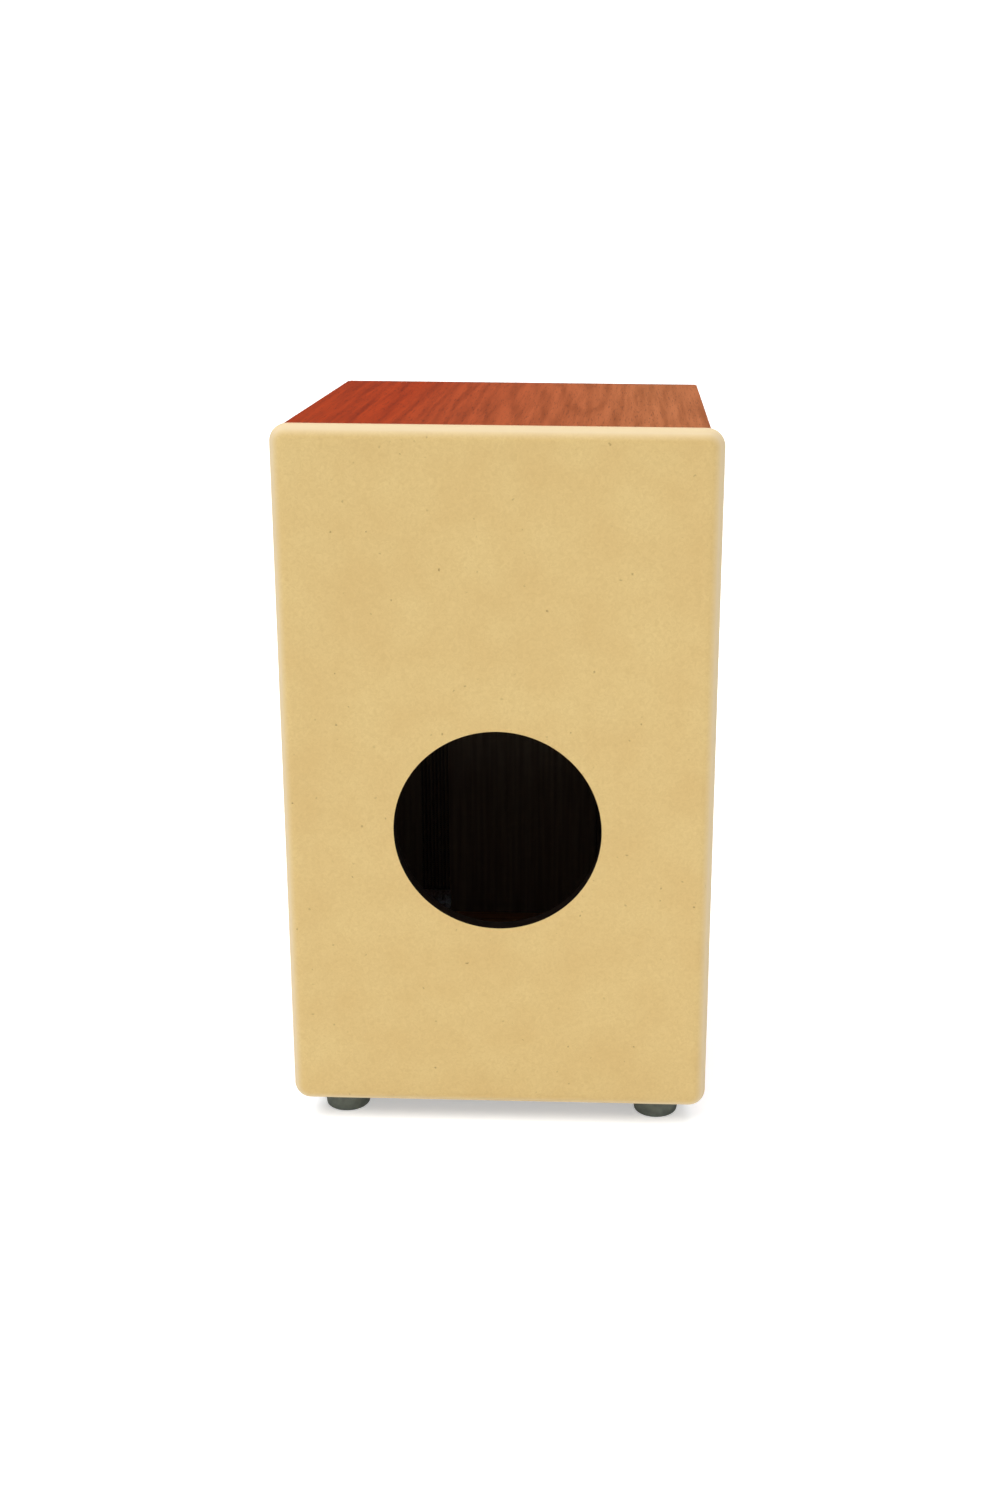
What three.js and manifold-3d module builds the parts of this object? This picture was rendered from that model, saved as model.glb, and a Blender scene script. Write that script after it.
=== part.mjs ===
// A cajon: a box drum that the player sits on. A thin front plate is struck, the top board is the
// seat, and the back panel carries the round sound hole. Two sets of coiled snare wires stand against
// the inside of the front plate, and a bolt under the box tensions each set.
// Millimetres, +Z up, floor at Z = 0. The front plate faces -Y and the back panel faces +Y.
// Left is -X and right is +X.

import * as THREE from "three";
import { mergeVertices } from "three/addons/utils/BufferGeometryUtils.js";
import Module from "manifold-3d";

const wasm = await Module();
wasm.setup();

// ---------------------------------------------------------------- driving dimensions

// Box
const BODY_WIDTH = 281; // across the side boards
const BODY_DEPTH = 281; // from the front plate to the back panel
const BODY_HEIGHT = 490; // without the feet
const BOARD = 12; // thickness of the top, bottom and side boards
const BATTEN = 20; // square section of the battens glued inside
const BATTEN_CHAMFER = 3;
const GLUE_LINE = 0.3; // clearance between pieces that touch

// Front plate
const PLATE = 3; // thickness
const PLATE_CORNER_RADIUS = 2;

// Back panel
const PANEL = 12; // thickness
const PANEL_OVERHANG = 9.5; // past each side board
const PANEL_CORNER_RADIUS = 12;
const PANEL_EDGE_RADIUS = 10; // rounding of the outer edge
const HOLE_DIAMETER = 144;
const HOLE_HEIGHT = 211.5; // hole centre above the underside of the box

// Feet
const FOOT_HEIGHT = 15;
const FOOT_DIAMETER = 35;
const FOOT_TAPER = 1.5; // the sole's radius is this much smaller
const FOOT_CHAMFER = 1.5;
const FOOT_SIDE_INSET = 26; // foot centre in from the side board's outer face
const FOOT_END_INSET = 30; // foot centre in from the front plate's or back panel's outer face
const FOOT_SEAT = 5; // rubber left above the recess
const FOOT_RECESS_DIAMETER = 14;

// Washers: outer and inner diameter, thickness
const FOOT_WASHER = { outer: 12, inner: 4.6, thick: 1.2 };
const BOLT_WASHER = { outer: 11, inner: 5.6, thick: 1 };

// Wood screws: head and shank diameters, head height, length under the head's face
const PLATE_SCREW = { head: 7, shank: 3.5, headHeight: 2, length: 20, countersunk: true };
const WIRE_SCREW = { head: 5.2, shank: 2.6, headHeight: 1.1, length: 14, countersunk: true };
const FOOT_SCREW = { head: 8, shank: 4, headHeight: 2.6, length: 38, countersunk: false };
const YOKE_SCREW = { head: 5.6, shank: 3, headHeight: 2, length: 5, countersunk: false };
const SCREW_SINK = 0.2; // a countersunk head's face below the surface
const SCREW_FIT = 0.3; // clearance round a screw

// Screws that hold the front plate
const SIDE_SCREWS = 5; // along each side board
const END_SCREWS = 4; // along the top board, and along the bottom board
const SIDE_SCREW_MARGIN = 36; // from the body's end to the first screw of a side board
const END_SCREW_MARGIN = 20; // from the body's corner to the first screw of an end board

// Snare wires
const SNARE_SPACING = 150; // between the middles of the two sets
const SNARE_LENGTH = 278; // coiled length between the end plates' strand ends
const STRANDS = 8;
const STRAND_PITCH = 3.1;
const STRAND_DIAMETER = 2.2;
const SNARE_FIT = 0.3; // strands to the front plate
const END_PLATE = { thick: 1.2, upperHeight: 16, lowerHeight: 14, solderLap: 4 };
const WIRE_SCREW_SPREAD = 16; // between the two screws of an end plate
const WIRE_SCREW_DROP = 5; // from the upper end plate's top edge to its screws
const SNARE_BAR_DEPTH = 18;
const SNARE_BAR_HEIGHT = 25;

// Tension bolt and yoke
const BOLT = { shank: 5, head: 8.5, headHeight: 5, socket: 4, socketDepth: 2.5, length: 40 };
const COUNTERBORE_DIAMETER = 12.4;
const COUNTERBORE_DEPTH = 7;
const BOLT_FIT = 0.2; // clearance round the bolt in the yoke and the boards
const YOKE_REST = 5.7; // under the yoke at rest, above the anchor batten
const YOKE_LEG = 4; // thickness of the leg that the bolt is threaded through
const YOKE_BACK = 2; // thickness of the leg behind the end plate
const YOKE_HEIGHT = 16;
const YOKE_WIDTH = 26;
const YOKE_SCREW_HEIGHT = 8; // above the yoke's underside
const YOKE_REACH = 6; // from the bolt's axis to the yoke's rear edge

// Facets
const ROUND_SIDES = 16;
const FOOT_SIDES = 40;
const HOLE_SIDES = 72;
const STRAND_SIDES = 6;
const OVERRUN = 2; // how far a cutting tool runs past the piece that it cuts

// ---------------------------------------------------------------- places worked out from them

const PANEL_WIDTH = BODY_WIDTH + 2 * PANEL_OVERHANG;
const DEPTH = PLATE + BODY_DEPTH + PANEL;
const FRONT = -DEPTH / 2; // front plate's outer face
const BACK = DEPTH / 2; // back panel's outer face
const CHAMBER_FRONT = FRONT + PLATE;
const CHAMBER_BACK = BACK - PANEL;
const SIDE = BODY_WIDTH / 2; // side board's outer face
const CHAMBER_SIDE = SIDE - BOARD;
const BASE = FOOT_HEIGHT; // underside of the box
const CHAMBER_FLOOR = BASE + BOARD;
const TOP = BASE + BODY_HEIGHT;
const CHAMBER_CEILING = TOP - BOARD;
const BATTEN_REACH = CHAMBER_SIDE - GLUE_LINE - BATTEN; // inner face of a corner batten

const FOOT_X = SIDE - FOOT_SIDE_INSET;
const FOOT_Y = DEPTH / 2 - FOOT_END_INSET;
const FOOT_RECESS = FOOT_HEIGHT - FOOT_SEAT;
const FOOT_WASHER_BASE = FOOT_RECESS - GLUE_LINE - FOOT_WASHER.thick;
const FOOT_SCREW_FACE = FOOT_WASHER_BASE - GLUE_LINE - FOOT_SCREW.headHeight;

const ANCHOR_TOP = CHAMBER_FLOOR + GLUE_LINE + BATTEN;
const BOLT_Y = CHAMBER_FRONT + GLUE_LINE + BATTEN / 2;
const BOLT_WASHER_BASE = BASE + COUNTERBORE_DEPTH - GLUE_LINE - BOLT_WASHER.thick;
const BOLT_HEAD_TOP = BOLT_WASHER_BASE - GLUE_LINE;
const YOKE_BASE = ANCHOR_TOP + YOKE_REST;
const STRAND_Y = CHAMBER_FRONT + SNARE_FIT + STRAND_DIAMETER / 2;
const END_PLATE_BACK = STRAND_Y + STRAND_DIAMETER / 2;
const END_PLATE_FRONT = END_PLATE_BACK - END_PLATE.thick;
const YOKE_FRONT = END_PLATE_BACK + GLUE_LINE;
const LOWER_PLATE_TOP = YOKE_BASE + YOKE_HEIGHT;
const STRAND_START = LOWER_PLATE_TOP - END_PLATE.solderLap;
const STRAND_END = STRAND_START + SNARE_LENGTH;
const UPPER_PLATE_BASE = STRAND_END - END_PLATE.solderLap;
const UPPER_PLATE_TOP = UPPER_PLATE_BASE + END_PLATE.upperHeight;
const WIRE_SCREW_Z = UPPER_PLATE_TOP - WIRE_SCREW_DROP;
const YOKE_SCREW_FACE = YOKE_FRONT + YOKE_BACK + SCREW_FIT + YOKE_SCREW.headHeight;
const SNARE_BAR_BASE = (UPPER_PLATE_BASE + UPPER_PLATE_TOP - SNARE_BAR_HEIGHT) / 2;

// ---------------------------------------------------------------- materials

const metal = (color, roughness) => ({ color, roughness, metalness: 1 });
const plain = (color, roughness) => ({ color, roughness, metalness: 0 });
const FINISH = {
  veneer: plain("#a8502f", 0.45),
  frontVeneer: plain("#9c4526", 0.4),
  fibreboard: plain("#d6bd85", 0.75),
  softwood: plain("#c9a673", 0.7),
  rubber: plain("#4b4d49", 0.85),
  zincSteel: metal("#b9bcc0", 0.35),
  blackSteel: metal("#2d2e30", 0.5),
  springSteel: metal("#55575b", 0.35),
};

// ---------------------------------------------------------------- geometry helpers

// A box between two opposite corners.
function block([x0, y0, z0], [x1, y1, z1]) {
  const geometry = new THREE.BoxGeometry(x1 - x0, y1 - y0, z1 - z0);
  return geometry.translate((x0 + x1) / 2, (y0 + y1) / 2, (z0 + z1) / 2);
}

// A solid of revolution about Z. The profile is [radius, height] pairs, read upwards on the outside.
function turned(profile, sides = ROUND_SIDES) {
  const points = profile.map(([radius, height]) => new THREE.Vector2(radius, height));
  return new THREE.LatheGeometry(points, sides).rotateX(Math.PI / 2);
}

// A cylinder along Z.
function rod(radius, low, high, sides = ROUND_SIDES) {
  return turned([[0, low], [radius, low], [radius, high], [0, high]], sides);
}

function ring({ outer, inner, thick }) {
  const [r, hole] = [outer / 2, inner / 2];
  return turned([[hole, 0], [r, 0], [r, thick], [hole, thick], [hole, 0]]);
}

// A closed geometry as a solid that can be joined and cut.
function solidOf(geometry) {
  const bare = geometry.clone().deleteAttribute("normal").deleteAttribute("uv");
  const merged = mergeVertices(bare, 1e-3);
  const corners = merged.index.array;
  const kept = [];
  for (let i = 0; i < corners.length; i += 3) {
    const [a, b, c] = corners.subarray(i, i + 3);
    if (a !== b && b !== c && c !== a) kept.push(a, b, c);
  }
  const vertProperties = merged.attributes.position.array;
  return new wasm.Manifold(new wasm.Mesh({ numProp: 3, vertProperties, triVerts: new Uint32Array(kept) }));
}

function geometryOf(solid) {
  const { vertProperties, triVerts } = solid.getMesh();
  const geometry = new THREE.BufferGeometry();
  geometry.setAttribute("position", new THREE.BufferAttribute(vertProperties, 3));
  geometry.setIndex(new THREE.BufferAttribute(triVerts, 1));
  return geometry;
}

function cut(geometry, tools) {
  return geometryOf(tools.reduce((solid, tool) => solid.subtract(solidOf(tool)), solidOf(geometry)));
}

function joined(geometries) {
  return geometryOf(geometries.map(solidOf).reduce((solid, next) => solid.add(next)));
}

function mesh(name, geometry, { color, roughness, metalness }) {
  const material = new THREE.MeshStandardMaterial({ color, roughness, metalness });
  const shaded = geometry.index ? geometry.toNonIndexed() : geometry;
  shaded.computeVertexNormals();
  const made = new THREE.Mesh(shaded, material);
  made.name = name;
  return made;
}

function spread(count, low, high) {
  return Array.from({ length: count }, (_, i) => low + ((high - low) * i) / (count - 1));
}

// ---------------------------------------------------------------- screws

// A screw about Z with its head's face at Z = 0 and its point down. Clearance grows it all round, and
// opens the way for its head above the face.
function screwShape({ head, shank, headHeight, length, countersunk }, clearance = 0) {
  const headRadius = head / 2 + clearance;
  const shankRadius = shank / 2 + clearance;
  const point = -length - clearance;
  const shoulder = -headHeight - (countersunk ? 0 : clearance);
  const profile = [[0, point], [shankRadius, point + shank], [shankRadius, shoulder]];
  if (!countersunk) profile.push([headRadius, shoulder]);
  profile.push([headRadius, 0]);
  if (clearance) profile.push([headRadius, OVERRUN]);
  profile.push([0, profile.at(-1)[1]]);
  return turned(profile);
}

// A screw, or its clearance, turned so that its head faces forwards, with the face at y.
function facingFront(geometry, [x, y, z]) {
  return geometry.rotateX(Math.PI / 2).translate(x, y, z);
}

function facingBack(geometry, [x, y, z]) {
  return geometry.rotateX(-Math.PI / 2).translate(x, y, z);
}

// Every screw of the front plate: its name and the middle of its head.
function plateScrewPlaces() {
  const y = FRONT + SCREW_SINK;
  const edge = SIDE - BOARD / 2;
  const columns = spread(SIDE_SCREWS, BASE + SIDE_SCREW_MARGIN, TOP - SIDE_SCREW_MARGIN);
  const rows = spread(END_SCREWS, END_SCREW_MARGIN - SIDE, SIDE - END_SCREW_MARGIN);
  const places = [];
  for (const [side, x] of [["left", -edge], ["right", edge]])
    columns.forEach((z, i) => places.push({ name: `plate_screw_${side}_${i + 1}`, at: [x, y, z] }));
  for (const [end, z] of [["bottom", BASE + BOARD / 2], ["top", TOP - BOARD / 2]])
    rows.forEach((x, i) => places.push({ name: `plate_screw_${end}_${i + 1}`, at: [x, y, z] }));
  return places;
}

const PLATE_SCREWS = plateScrewPlaces();

// Clearance for the front plate's screws whose names hold the word.
function plateScrewHoles(word) {
  const held = PLATE_SCREWS.filter(({ name }) => name.includes(word));
  return held.map(({ at }) => facingFront(screwShape(PLATE_SCREW, SCREW_FIT), at));
}

function plateScrews() {
  const group = new THREE.Group();
  for (const { name, at } of PLATE_SCREWS) {
    const screw = mesh(name, screwShape(PLATE_SCREW), FINISH.blackSteel);
    screw.rotation.x = Math.PI / 2;
    screw.position.set(...at);
    group.add(screw);
  }
  return group;
}

// ---------------------------------------------------------------- places of the repeated sub-parts

const FEET = ["front", "back"].flatMap((end) =>
  ["left", "right"].map((side) => ({
    name: `${end}_${side}`,
    x: side === "left" ? -FOOT_X : FOOT_X,
    y: end === "front" ? -FOOT_Y : FOOT_Y,
  })),
);

const SNARES = [
  { side: "left", x: -SNARE_SPACING / 2 },
  { side: "right", x: SNARE_SPACING / 2 },
];

// Clearance for the screws of the feet.
function footScrewHoles() {
  const hole = (x, y) => screwShape(FOOT_SCREW, SCREW_FIT).rotateX(Math.PI).translate(x, y, FOOT_SCREW_FACE);
  return FEET.map(({ x, y }) => hole(x, y));
}

// Clearance for the tension bolts, with the recess for each head in the underside of the box.
function boltHoles() {
  return SNARES.flatMap(({ x }) => [
    rod(BOLT.shank / 2 + BOLT_FIT, BASE, ANCHOR_TOP + OVERRUN).translate(x, BOLT_Y, 0),
    rod(COUNTERBORE_DIAMETER / 2, BASE - OVERRUN, BASE + COUNTERBORE_DEPTH).translate(x, BOLT_Y, 0),
  ]);
}

// ---------------------------------------------------------------- box

// A board of the body, running from the front plate to the back panel.
function bodyBoard([x0, z0], [x1, z1]) {
  return block([x0, CHAMBER_FRONT + GLUE_LINE, z0], [x1, CHAMBER_BACK - GLUE_LINE, z1]);
}

function bodyBoards() {
  const top = bodyBoard([-SIDE, CHAMBER_CEILING], [SIDE, TOP]);
  const bottom = bodyBoard([-SIDE, BASE], [SIDE, CHAMBER_FLOOR]);
  const [low, high] = [CHAMBER_FLOOR + GLUE_LINE, CHAMBER_CEILING - GLUE_LINE];
  const left = bodyBoard([-SIDE, low], [-CHAMBER_SIDE, high]);
  const right = bodyBoard([CHAMBER_SIDE, low], [SIDE, high]);
  const bottomHoles = [...plateScrewHoles("bottom"), ...footScrewHoles(), ...boltHoles()];
  return new THREE.Group().add(
    mesh("top_board", cut(top, plateScrewHoles("top")), FINISH.veneer),
    mesh("bottom_board", cut(bottom, bottomHoles), FINISH.veneer),
    mesh("left_side_board", cut(left, plateScrewHoles("left")), FINISH.veneer),
    mesh("right_side_board", cut(right, plateScrewHoles("right")), FINISH.veneer),
  );
}

// A batten in a corner of the chamber, chamfered on its free edge. The signs say which corner.
function cornerBatten(across, up) {
  const [s, c] = [BATTEN, BATTEN_CHAMFER];
  const outline = new THREE.Shape([[0, 0], [s, 0], [s, s - c], [s - c, s], [0, s]].map(([x, z]) =>
    new THREE.Vector2(x, z)));
  const length = BODY_DEPTH - 2 * GLUE_LINE;
  const strip = new THREE.ExtrudeGeometry(outline, { depth: length, bevelEnabled: false });
  // The outline's corner goes to the chamber's corner, and its sides point into the chamber.
  const quarterTurns = across < 0 ? (up < 0 ? 0 : 3) : (up < 0 ? 1 : 2);
  strip.rotateZ((quarterTurns * Math.PI) / 2).rotateX(Math.PI / 2);
  const z = up < 0 ? CHAMBER_FLOOR + GLUE_LINE : CHAMBER_CEILING - GLUE_LINE;
  return strip.translate(across * (CHAMBER_SIDE - GLUE_LINE), CHAMBER_BACK - GLUE_LINE, z);
}

function anchorBatten() {
  const reach = BATTEN_REACH - GLUE_LINE;
  const front = CHAMBER_FRONT + GLUE_LINE;
  const strip = block([-reach, front, CHAMBER_FLOOR + GLUE_LINE], [reach, front + BATTEN, ANCHOR_TOP]);
  return cut(strip, boltHoles());
}

function battens() {
  const group = new THREE.Group();
  for (const [side, across] of [["left", -1], ["right", 1]]) {
    const top = mesh(`top_${side}_batten`, cornerBatten(across, 1), FINISH.softwood);
    const drilled = cut(cornerBatten(across, -1), footScrewHoles());
    group.add(top, mesh(`bottom_${side}_batten`, drilled, FINISH.softwood));
  }
  return group.add(mesh("snare_anchor_batten", anchorBatten(), FINISH.softwood));
}

// A rectangle with rounded corners in the XY plane, standing on Y = 0.
function roundedOutline(width, height, radius) {
  const [w, r] = [width / 2, radius];
  const outline = new THREE.Shape();
  outline.moveTo(r - w, 0).lineTo(w - r, 0).absarc(w - r, r, r, -Math.PI / 2, 0);
  outline.lineTo(w, height - r).absarc(w - r, height - r, r, 0, Math.PI / 2);
  outline.lineTo(r - w, height).absarc(r - w, height - r, r, Math.PI / 2, Math.PI);
  return outline.lineTo(-w, r).absarc(r - w, r, r, Math.PI, 1.5 * Math.PI);
}

function frontPlate() {
  const outline = roundedOutline(BODY_WIDTH, BODY_HEIGHT, PLATE_CORNER_RADIUS);
  const sheet = new THREE.ExtrudeGeometry(outline, { depth: PLATE, bevelEnabled: false, curveSegments: 4 });
  sheet.rotateX(Math.PI / 2).translate(0, CHAMBER_FRONT, BASE);
  return mesh("front_plate", cut(sheet, plateScrewHoles("plate_screw")), FINISH.frontVeneer);
}

// The back panel is rounded over on its outer edge only: a sheet rounded on both faces is made
// thicker than the panel, and what lies inside the panel's inner face is cut away.
function backPanel() {
  const radius = PANEL_EDGE_RADIUS;
  const outline = roundedOutline(PANEL_WIDTH, BODY_HEIGHT, PANEL_CORNER_RADIUS);
  const sheet = new THREE.ExtrudeGeometry(outline, {
    depth: PANEL,
    bevelThickness: radius,
    bevelSize: radius,
    bevelOffset: -radius,
    bevelSegments: 5,
    curveSegments: 6,
  });
  sheet.rotateX(Math.PI / 2).translate(0, BACK - radius, BASE);
  const reach = PANEL_WIDTH;
  const inside = block([-reach, CHAMBER_BACK - reach, BASE - reach], [reach, CHAMBER_BACK, TOP + reach]);
  const hole = rod(HOLE_DIAMETER / 2, -reach, reach, HOLE_SIDES).rotateX(Math.PI / 2);
  hole.translate(0, BACK, BASE + HOLE_HEIGHT);
  return mesh("back_panel", cut(sheet, [inside, hole]), FINISH.fibreboard);
}

// ---------------------------------------------------------------- feet

function footShape() {
  const top = FOOT_HEIGHT - GLUE_LINE;
  const bore = FOOT_SCREW.shank / 2 + SCREW_FIT;
  const recess = FOOT_RECESS_DIAMETER / 2;
  const sole = FOOT_DIAMETER / 2 - FOOT_TAPER;
  return turned(
    [
      [bore, FOOT_RECESS],
      [recess, FOOT_RECESS],
      [recess, 0],
      [sole - FOOT_CHAMFER, 0],
      [sole, FOOT_CHAMFER],
      [FOOT_DIAMETER / 2, top],
      [bore, top],
      [bore, FOOT_RECESS],
    ],
    FOOT_SIDES,
  );
}

// A rubber foot, held by a screw whose head and washer lie in its recess.
function foot({ name, x, y }) {
  const group = new THREE.Group();
  const washer = mesh(`${name}_foot_washer`, ring(FOOT_WASHER), FINISH.zincSteel);
  washer.position.z = FOOT_WASHER_BASE;
  const screw = mesh(`${name}_foot_screw`, screwShape(FOOT_SCREW), FINISH.zincSteel);
  screw.rotation.x = Math.PI;
  screw.position.z = FOOT_SCREW_FACE;
  group.add(mesh(`${name}_foot`, footShape(), FINISH.rubber), washer, screw);
  group.position.set(x, y, 0);
  return group;
}

// ---------------------------------------------------------------- snares

// Places in this section are about the middle of one set, so X = 0 there is the bolt's axis.

// Two screws side by side, as [x, y, z] of their heads.
const screwPair = (y, z) => [-WIRE_SCREW_SPREAD / 2, WIRE_SCREW_SPREAD / 2].map((x) => [x, y, z]);
const WIRE_SCREWS = screwPair(END_PLATE_FRONT + SCREW_SINK, WIRE_SCREW_Z);
const YOKE_SCREWS = screwPair(YOKE_SCREW_FACE, YOKE_BASE + YOKE_SCREW_HEIGHT);

function wireScrewHoles() {
  return WIRE_SCREWS.map((at) => facingFront(screwShape(WIRE_SCREW, SCREW_FIT), at));
}

function yokeScrewHoles() {
  return YOKE_SCREWS.map((at) => facingBack(screwShape(YOKE_SCREW, SCREW_FIT), at));
}

function endPlate(base, height) {
  const half = (STRANDS * STRAND_PITCH) / 2;
  return block([-half, END_PLATE_FRONT, base], [half, END_PLATE_BACK, base + height]);
}

// Parallel strands, soldered at both ends to a flat plate.
function snareWires() {
  const reach = ((STRANDS - 1) * STRAND_PITCH) / 2;
  const strands = spread(STRANDS, -reach, reach).map((x) =>
    rod(STRAND_DIAMETER / 2, STRAND_START, STRAND_END, STRAND_SIDES).translate(x, STRAND_Y, 0));
  const lower = endPlate(LOWER_PLATE_TOP - END_PLATE.lowerHeight, END_PLATE.lowerHeight);
  const upper = endPlate(UPPER_PLATE_BASE, END_PLATE.upperHeight);
  return cut(joined([lower, upper, ...strands]), [...wireScrewHoles(), ...yokeScrewHoles()]);
}

// The bar across the chamber that the upper end plates are screwed to.
function snareBar() {
  const reach = CHAMBER_SIDE - GLUE_LINE;
  const low = [-reach, YOKE_FRONT, SNARE_BAR_BASE];
  const high = [reach, YOKE_FRONT + SNARE_BAR_DEPTH, SNARE_BAR_BASE + SNARE_BAR_HEIGHT];
  const holes = SNARES.flatMap(({ x }) => wireScrewHoles().map((hole) => hole.translate(x, 0, 0)));
  return mesh("snare_bar", cut(block(low, high), holes), FINISH.softwood);
}

// An angle whose lower leg is threaded on the tension bolt and whose front leg holds the wires.
function yokeShape() {
  const [x, rear] = [YOKE_WIDTH / 2, BOLT_Y + YOKE_REACH];
  const lower = block([-x, YOKE_FRONT, YOKE_BASE], [x, rear, YOKE_BASE + YOKE_LEG]);
  const front = block([-x, YOKE_FRONT, YOKE_BASE], [x, YOKE_FRONT + YOKE_BACK, YOKE_BASE + YOKE_HEIGHT]);
  const bore = rod(BOLT.shank / 2 + BOLT_FIT, YOKE_BASE - OVERRUN, YOKE_BASE + YOKE_LEG + OVERRUN);
  return cut(joined([lower, front]), [bore.translate(0, BOLT_Y, 0), ...yokeScrewHoles()]);
}

// A cap screw with a hexagonal socket, head down, about Z with the head's upper side at Z = 0.
function boltShape() {
  const [shank, head] = [BOLT.shank / 2, BOLT.head / 2];
  const blank = turned([[0, -BOLT.headHeight], [head, -BOLT.headHeight], [head, 0], [shank, 0],
    [shank, BOLT.length], [0, BOLT.length]]);
  const corner = BOLT.socket / Math.sqrt(3);
  const socket = rod(corner, -BOLT.headHeight - OVERRUN, BOLT.socketDepth - BOLT.headHeight, 6);
  return cut(blank, [socket]);
}

// A screw at each place, turned about X.
function facingScrews(name, kind, places, turn) {
  return places.map((at, i) => {
    const screw = mesh(`${name}_${i + 1}`, screwShape(kind), FINISH.zincSteel);
    screw.rotation.x = turn;
    screw.position.set(...at);
    return screw;
  });
}

// One set of wires with the screws, yoke, bolt and washer that hold it.
function snareSet({ side, x }) {
  const group = new THREE.Group();
  const wires = mesh(`${side}_snare_wires`, snareWires(), FINISH.springSteel);
  const yoke = mesh(`${side}_snare_yoke`, yokeShape(), FINISH.zincSteel);
  const bolt = mesh(`${side}_tension_bolt`, boltShape(), FINISH.blackSteel);
  bolt.position.set(0, BOLT_Y, BOLT_HEAD_TOP);
  const washer = mesh(`${side}_tension_washer`, ring(BOLT_WASHER), FINISH.zincSteel);
  washer.position.set(0, BOLT_Y, BOLT_WASHER_BASE);
  group.add(wires, yoke, bolt, washer);
  group.add(...facingScrews(`${side}_wire_screw`, WIRE_SCREW, WIRE_SCREWS, Math.PI / 2));
  group.add(...facingScrews(`${side}_yoke_screw`, YOKE_SCREW, YOKE_SCREWS, -Math.PI / 2));
  group.position.x = x;
  return group;
}

// ---------------------------------------------------------------- assembly

const cajon = new THREE.Group();
cajon.add(bodyBoards(), battens(), frontPlate(), backPanel(), plateScrews(), snareBar());
FEET.forEach((place) => cajon.add(foot(place)));
SNARES.forEach((place) => cajon.add(snareSet(place)));

export default cajon;
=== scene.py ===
# %% [markdown]
# # A cajon, finished around its measured frame
#
# A cajon is a wooden box drum. The player sits on the top board and strikes a thin front plate, and
# the sound leaves through a round hole in the back panel. The frame that is loaded here holds every
# piece at its true size and place. This script gives each piece its real edges, holes and surfaces,
# and lights the result softly, seen from behind and a little above.

# %% Load the frame
from math import cos, degrees, pi, radians, sin

import bmesh
import bpy
from mathutils import Euler, Matrix, Vector


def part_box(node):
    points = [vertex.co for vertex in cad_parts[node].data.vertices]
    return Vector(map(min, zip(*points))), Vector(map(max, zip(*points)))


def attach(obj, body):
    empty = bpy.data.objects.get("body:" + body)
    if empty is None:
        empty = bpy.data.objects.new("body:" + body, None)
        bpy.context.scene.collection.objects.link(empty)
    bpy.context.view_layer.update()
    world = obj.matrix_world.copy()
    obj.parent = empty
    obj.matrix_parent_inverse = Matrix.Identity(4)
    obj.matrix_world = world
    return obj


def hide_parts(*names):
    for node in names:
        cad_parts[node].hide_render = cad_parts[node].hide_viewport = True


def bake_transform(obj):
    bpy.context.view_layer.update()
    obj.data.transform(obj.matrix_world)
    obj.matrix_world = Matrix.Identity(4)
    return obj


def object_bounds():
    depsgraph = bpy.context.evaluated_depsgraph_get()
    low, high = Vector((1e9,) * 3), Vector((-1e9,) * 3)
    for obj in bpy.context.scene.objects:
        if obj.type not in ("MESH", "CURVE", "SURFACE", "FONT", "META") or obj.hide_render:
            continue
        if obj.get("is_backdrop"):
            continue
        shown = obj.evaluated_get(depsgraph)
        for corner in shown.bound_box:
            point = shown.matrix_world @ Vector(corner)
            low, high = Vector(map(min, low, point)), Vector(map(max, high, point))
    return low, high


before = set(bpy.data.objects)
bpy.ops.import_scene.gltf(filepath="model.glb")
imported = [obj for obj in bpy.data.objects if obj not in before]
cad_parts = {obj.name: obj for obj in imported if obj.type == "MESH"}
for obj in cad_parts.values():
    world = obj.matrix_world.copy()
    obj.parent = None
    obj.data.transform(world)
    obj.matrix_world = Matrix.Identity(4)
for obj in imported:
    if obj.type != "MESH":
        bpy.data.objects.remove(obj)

CAD_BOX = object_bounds()
MM = 0.001

# %% [markdown]
# ## Two small helpers
#
# Colours are written as the sRGB hex values that a paint chart gives, and the renderer needs them
# linear. Pattern sizes are written as real millimetres, and a texture needs them as repeats per metre.

# %% Colour and scale helpers
def linear(hex_colour):
    """A linear RGBA colour from an sRGB hex value."""
    channels = [int(hex_colour[i:i + 2], 16) / 255 for i in (1, 3, 5)]
    return (*[c / 12.92 if c <= 0.04045 else ((c + 0.055) / 1.055) ** 2.4 for c in channels], 1)


def per_metre(size_mm):
    """How often a pattern of this size repeats in a metre."""
    return 1 / (size_mm * MM)


print("mid grey is", round(linear("#808080")[0], 3), "linear")

# %% [markdown]
# ## The camera
#
# The drum is seen from behind, from above seat height, about 1.2 m from its back panel. The lens is
# close to a normal one, and longer than a phone's. The shift moves the picture sideways without
# turning the camera, so that the two sides of the panel keep nearly the same slope.

# %% Place the camera
CAMERA_PLACE = Vector((-0.0862, 1.3309, 0.6495))
CAMERA_TURN = Euler((radians(72.963), radians(-0.513), radians(-178.417)))
LENS_MM = 43.44
SIDE_SHIFT = -0.0533

camera_data = bpy.data.cameras.new("camera")
camera_data.lens = LENS_MM
camera_data.shift_x = SIDE_SHIFT
camera = bpy.data.objects.new("camera", camera_data)
camera.location = CAMERA_PLACE
camera.rotation_euler = CAMERA_TURN
bpy.context.scene.collection.objects.link(camera)
bpy.context.scene.camera = camera
print("camera is", round(CAMERA_PLACE.length, 2), "m from the middle of the footprint")

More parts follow.
